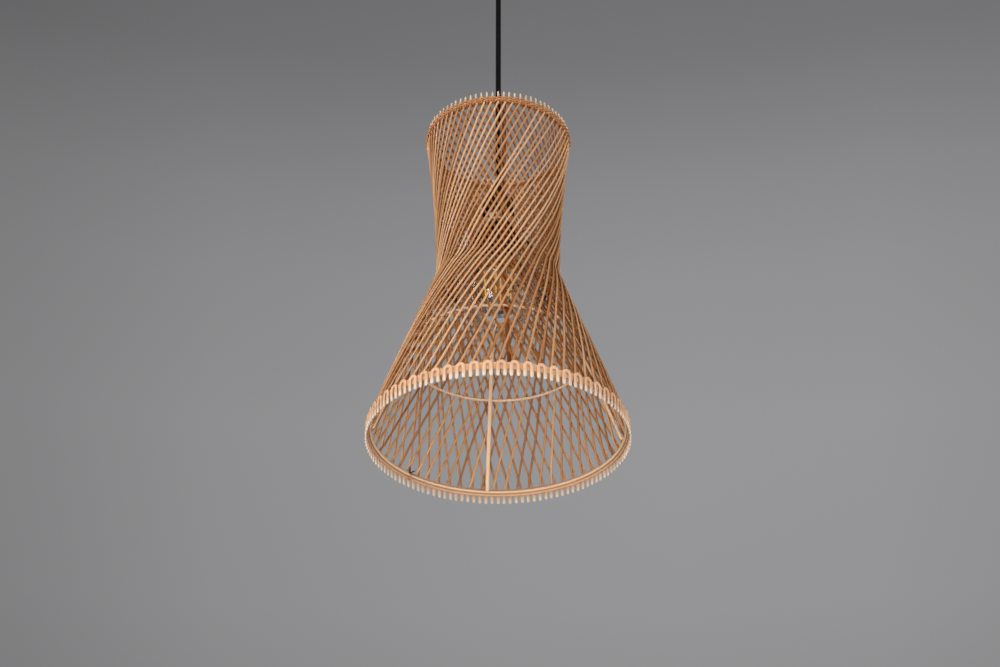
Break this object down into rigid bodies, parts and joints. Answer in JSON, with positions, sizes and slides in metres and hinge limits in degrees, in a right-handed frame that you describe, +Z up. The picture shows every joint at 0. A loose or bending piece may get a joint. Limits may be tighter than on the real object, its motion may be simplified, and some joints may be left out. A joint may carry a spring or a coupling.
{
  "type": "pendant ceiling light",
  "caption": "Pendant ceiling light with a waisted woven rattan shade on a spider, a globe bulb in its screw holder, a straight cord and a round ceiling rose.",
  "frame": {"origin": "middle of the ceiling face of the rose, where the bracket meets the ceiling", "axes": "+Z up along the cord, out of the ceiling face; the lamp hangs in -Z; +X along the ceiling bracket"},
  "size_m": [0.303, 0.303, 0.7592],
  "materials": {
    "zinc_steel": "zinc plated",
    "black_steel": "satin black",
    "ivory_plastic": "moulded",
    "contact_brass": "plain",
    "black_plastic": "fine grained",
    "cord_sheath": "smooth, slightly glossy",
    "wire_sheath": "smooth",
    "pale_cane": "peeled cane, satin",
    "rattan": "natural rattan, satin",
    "dark_rattan": "dark bark, satin",
    "dark_glass": "smooth",
    "cap_metal": "nickel plated",
    "clear_glass": "clear",
    "filament_yellow": "phosphor coat"
  },
  "bodies": {
    "rose": {"ceiling_bracket": "zinc_steel", "canopy_cover": "black_steel", "canopy_screws": "zinc_steel", "terminal_block": "ivory_plastic", "terminal_screws": "contact_brass", "block_screw": "zinc_steel", "rose_grip": "black_plastic", "rose_grip_screw": "black_plastic", "rose_grip_nut": "black_plastic", "cord_tail": "cord_sheath", "rose_wires": "wire_sheath"},
    "cord_flex": {"cord_bend": "cord_sheath"},
    "lamp": {"cord_main": "cord_sheath", "holder_grip": "black_plastic", "holder_grip_screw": "black_plastic", "holder_cap": "black_plastic", "holder_body": "black_plastic", "shade_ring": "black_plastic", "holder_insert": "ivory_plastic", "holder_terminal_screws": "contact_brass", "screw_shell": "contact_brass", "centre_contact": "contact_brass", "holder_wires": "wire_sheath", "carrier_spider": "black_steel", "bottom_hoop": "pale_cane", "middle_hoop": "pale_cane", "top_hoop": "pale_cane", "bottom_band": "rattan", "top_band": "rattan", "rib_right": "pale_cane", "rib_far": "pale_cane", "rib_left": "pale_cane", "rib_near": "pale_cane", "outer_strands": "rattan", "inner_strands": "rattan", "bottom_loops": "pale_cane", "top_pegs": "pale_cane", "hoop_tie": "dark_rattan"},
    "bulb_seat": {"bulb_contact": "contact_brass", "bulb_insulator": "dark_glass"},
    "bulb": {"bulb_cap": "cap_metal", "bulb_glass": "clear_glass", "bulb_stem": "clear_glass", "bulb_filaments": "filament_yellow", "bulb_wires": "cap_metal"}
  },
  "joints": [
    {"name": "swing_across", "type": "hinge", "parent": "rose", "child": "cord_flex", "pos_m": [0, 0, -0.046], "axis": [0, 1, 0], "range_deg": [-15, 15]},
    {"name": "swing_along", "type": "hinge", "parent": "cord_flex", "child": "lamp", "pos_m": [0, 0, -0.046], "axis": [1, 0, 0], "range_deg": [-15, 15]},
    {"name": "bulb_travel", "type": "slide", "parent": "lamp", "child": "bulb_seat", "axis": [0, 0, 1], "range_m": [-0.02, 0]},
    {"name": "bulb_turn", "type": "hinge", "parent": "bulb_seat", "child": "bulb", "pos_m": [0, 0, -0.55], "axis": [0, 0, 1], "range_deg": [-1980, 0]}
  ],
  "couplings": [
    {"joint": "bulb_travel", "follows": "bulb_turn", "m_per_rad": 0.00057757}
  ]
}
